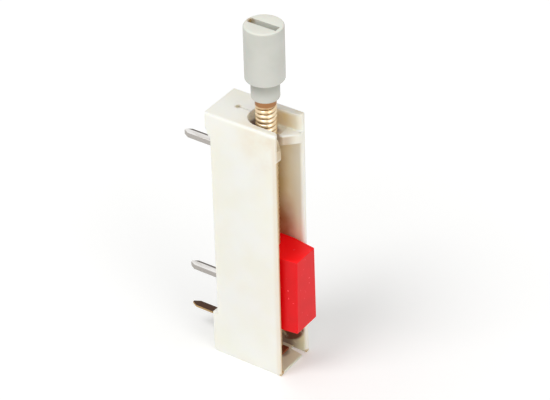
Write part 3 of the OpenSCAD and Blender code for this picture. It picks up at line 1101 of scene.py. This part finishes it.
@dataclass
class TuningKnob:
    """The slotted knob on the spindle's shank."""

    collar_r: float = 2.2
    knob_low_z: float = 51.8
    bore_r: float = 1.28
    bore_h: float = 8.6
    rim_r: float = 0.35
    foot_r: float = 0.22
    collar_edge_r: float = 0.25
    slot_w: float = 1.1
    slot_l: float = 4.9
    slot_h: float = 1.2
    slot_edge_r: float = 0.14

    def build(self) -> None:
        """Turns the knob, rounds its rims and cuts the screwdriver slot."""
        low, high = extent("knob")
        radius = high.x
        knob = Shape.turned(
            [
                (0, low.z + self.bore_h), (self.bore_r, low.z + self.bore_h), (self.bore_r, low.z),
                (self.collar_r, low.z), (self.collar_r, self.knob_low_z), (radius, self.knob_low_z),
                (radius, high.z), (0, high.z),
            ]
        )
        for ring_r, ring_z, edge_r in (
            (radius, high.z, self.rim_r),
            (radius, self.knob_low_z, self.foot_r),
            (self.collar_r, low.z, self.collar_edge_r),
        ):
            knob.round_edges(
                lambda at: abs(at.xy.length - ring_r) < 2 * NEAR and abs(at.z - ring_z) < NEAR, edge_r, 5
            )
        half_w, half_l = self.slot_w / 2, self.slot_l / 2
        slot = Shape.block((-half_w, -half_l, high.z - self.slot_h), (half_w, half_l, high.z + 1))
        knob.combine(slot, Union.CUT)
        knob.round_edges(
            lambda at: at.xy.length < half_l + 0.1 and abs(at.z - high.z) < NEAR, self.slot_edge_r, 2
        )
        knob.piece("tuning_knob", GreyPolyamide(), Body.SCREW, Slot.GREY, "knob")


@dataclass
class Carriage:
    """The slider that the screw drives, and its contact spring."""

    edge_r: float = 0.15
    nut_r: float = 1.75

    def build(self) -> None:
        """Rounds the slider's edges, outside its nut and off its back, and dresses the spring."""
        _, high = extent("slider")
        shape = Shape.of_node("slider")
        shape.round_edges(lambda at: at.xy.length > self.nut_r and at.y < high.y - NEAR, self.edge_r)
        shape.piece("slider_block", RedAcetal(), Body.CARRIAGE, Slot.RED, "slider")
        dress("contact_spring", SpringBronze())


@dataclass
class ResistanceStrip:
    """The laminate strip with its carbon track, clamped by two eyelets."""

    def build(self) -> None:
        """Dresses the strip, the track and the eyelets."""
        dress("resistor_strip", PaperLaminate())
        dress("carbon_track", CarbonInk())
        for node in ("upper_eyelet", "lower_eyelet"):
            dress(node, TinnedBrass())


@dataclass
class Terminals:
    """The two end pins and the wiper's pin."""

    edge_r: float = 0.12
    back_y: float = 7.65

    def build(self) -> None:
        """Rounds the pins and dresses them."""
        for node in ("upper_terminal", "lower_terminal"):
            shape = Shape.of_node(node)
            shape.round_edges(lambda at: at.y > self.back_y, self.edge_r)
            shape.piece(node + "_pin", TinnedBrass(), Body.POST, Slot.TINNED, node)
        blade = Shape.of_node("wiper_terminal")
        blade.round_edges(lambda at: at.y > self.back_y, self.edge_r / 2)
        blade.piece("wiper_terminal_pin", TarnishedBronze(), Body.POST, Slot.BRONZE, "wiper_terminal")


# ---------------------------------------------------------------------------------------------
# Studio
# ---------------------------------------------------------------------------------------------


@dataclass(frozen=True)
class Lamp:
    """A soft box: where it hangs, how large it is and how strong."""

    name: str
    direction: tuple[float, float, float]
    distance: float
    size: float
    watts: float


@dataclass
class Studio:
    """A white table with soft light, and the camera."""

    eye: tuple[float, float, float] = (-256.908, -181.722, 249.108)
    turn: tuple[float, float, float] = (55.1191, 1.2615, -55.7839)
    lens: float = 165.371
    target: tuple[float, float, float] = (0.0, 0.0, 25.0)
    table_half: float = 1500.0
    sky: float = 0.5
    table_white: str = "#F9F9F8"
    # The table's painted glow near the part and far from it, and the span between them in millimetres
    table_lift: tuple[float, float] = (0.155, 0.3)
    pool: tuple[float, float] = (20.0, 90.0)
    lamps: tuple[Lamp, ...] = (
        Lamp("key", (-2.05, 0.94, 4.1), 450, 200, 0.7),
        Lamp("front", (-0.35, -0.9, 0.36), 450, 260, 0.52),
        Lamp("side", (-0.95, -0.1, 0.3), 450, 300, 0.16),
    )

    def build(self) -> None:
        """Sets up the camera, the table, the sky and the lamps."""
        self.camera()
        self.table()
        self.world()
        for lamp in self.lamps:
            self.hang(lamp)
        bpy.context.scene.view_settings.view_transform = "Standard"

    def camera(self) -> None:
        """Makes the camera."""
        data = bpy.data.cameras.new("camera")
        data.lens = self.lens
        data.clip_start = 0.01
        camera = bpy.data.objects.new("camera", data)
        camera.location = Vector(self.eye) * MM
        camera.rotation_euler = [math.radians(a) for a in self.turn]
        bpy.context.scene.collection.objects.link(camera)
        bpy.context.scene.camera = camera

    def show_white(self, tree: bpy.types.NodeTree) -> bpy.types.NodeSocket:
        """Tells what the camera sees from other light.

        Args:
            tree: The node tree that asks.

        Returns:
            1 for what the camera sees, straight or by reflection, and 0 for other light.
        """
        path = add_node(tree, "LightPath")
        seen = path.outputs["Is Camera Ray"]
        for ray in ("Is Glossy Ray", "Is Transmission Ray"):
            wider = add_node(tree, "Math", {"operation": "MAXIMUM"}, {0: seen, 1: path.outputs[ray]})
            seen = wider.outputs["Value"]
        return seen

    def table(self) -> None:
        """Lays the table: white paper, lifted to white by a painted glow that the camera sees, weaker near
        the part so that the table round it stays darker.
        """
        mesh = bmesh.new()
        bmesh.ops.create_grid(mesh, x_segments=1, y_segments=1, size=self.table_half * MM)
        data = bpy.data.meshes.new("table")
        mesh.to_mesh(data)
        mesh.free()
        table = bpy.data.objects.new("table", data)
        bpy.context.scene.collection.objects.link(table)
        material = bpy.data.materials.new("white_paper")
        material.use_nodes = True
        tree = material.node_tree
        tree.nodes.clear()
        paper = add_node(tree, "BsdfDiffuse", {"Color": linear(self.table_white)})
        place = add_node(tree, "TexCoord").outputs["Object"]
        reach = add_node(tree, "VectorMath", {"operation": "LENGTH"}, {0: place}).outputs["Value"]
        # The painted glow grows from near the part to far from it, so the table is painted darker round the
        # part
        near, far = self.table_lift
        spread = {"From Min": self.pool[0] * MM, "From Max": self.pool[1] * MM, "To Min": near, "To Max": far}
        level = add_node(tree, "MapRange", spread, {"Value": reach}).outputs["Result"]
        lift = add_node(tree, "Math", {"operation": "MULTIPLY"}, {0: self.show_white(tree), 1: level})
        painted_glow = add_node(tree, "Emission", None, {"Strength": lift.outputs[0]})
        both = add_node(tree, "AddShader", None, {0: paper.outputs[0], 1: painted_glow.outputs[0]})
        add_node(tree, "OutputMaterial", None, {"Surface": both.outputs[0]})
        data.materials.append(material)

    def world(self) -> None:
        """Makes the sky: an even dome that shows as white."""
        world = bpy.data.worlds.new("sky")
        world.use_nodes = True
        bpy.context.scene.world = world
        tree = world.node_tree
        tree.nodes.clear()
        dome = add_node(tree, "Background", {"Strength": self.sky})
        white = add_node(tree, "Background", {"Strength": 1.0})
        for background in (dome, white):
            background.inputs["Color"].default_value = (1, 1, 1, 1)
        mix = add_node(
            tree, "MixShader", None, {0: self.show_white(tree), 1: dome.outputs[0], 2: white.outputs[0]}
        )
        add_node(tree, "OutputWorld", None, {"Surface": mix.outputs[0]})

    def hang(self, lamp: Lamp) -> None:
        """Hangs one soft box, aimed at the part.

        Args:
            lamp: The soft box.
        """
        data = bpy.data.lights.new(lamp.name, "AREA")
        data.shape = "DISK"
        data.size = lamp.size * MM
        data.energy = lamp.watts
        away = Vector(lamp.direction).normalized()
        box = bpy.data.objects.new(lamp.name, data)
        box.location = (Vector(self.target) + away * lamp.distance) * MM
        box.rotation_euler = away.to_track_quat("Z", "Y").to_euler()
        bpy.context.scene.collection.objects.link(box)


def main() -> None:
    """Builds the studio and every sub-assembly."""
    logging.basicConfig(level=logging.INFO, format="%(name)s: %(message)s")
    studio, housing, screw, knob = Studio(), Housing(), LeadScrew(), TuningKnob()
    for assembly in (studio, housing, screw, knob, Carriage(), ResistanceStrip(), Terminals()):
        assembly.build()


if __name__ == "__main__":
    main()
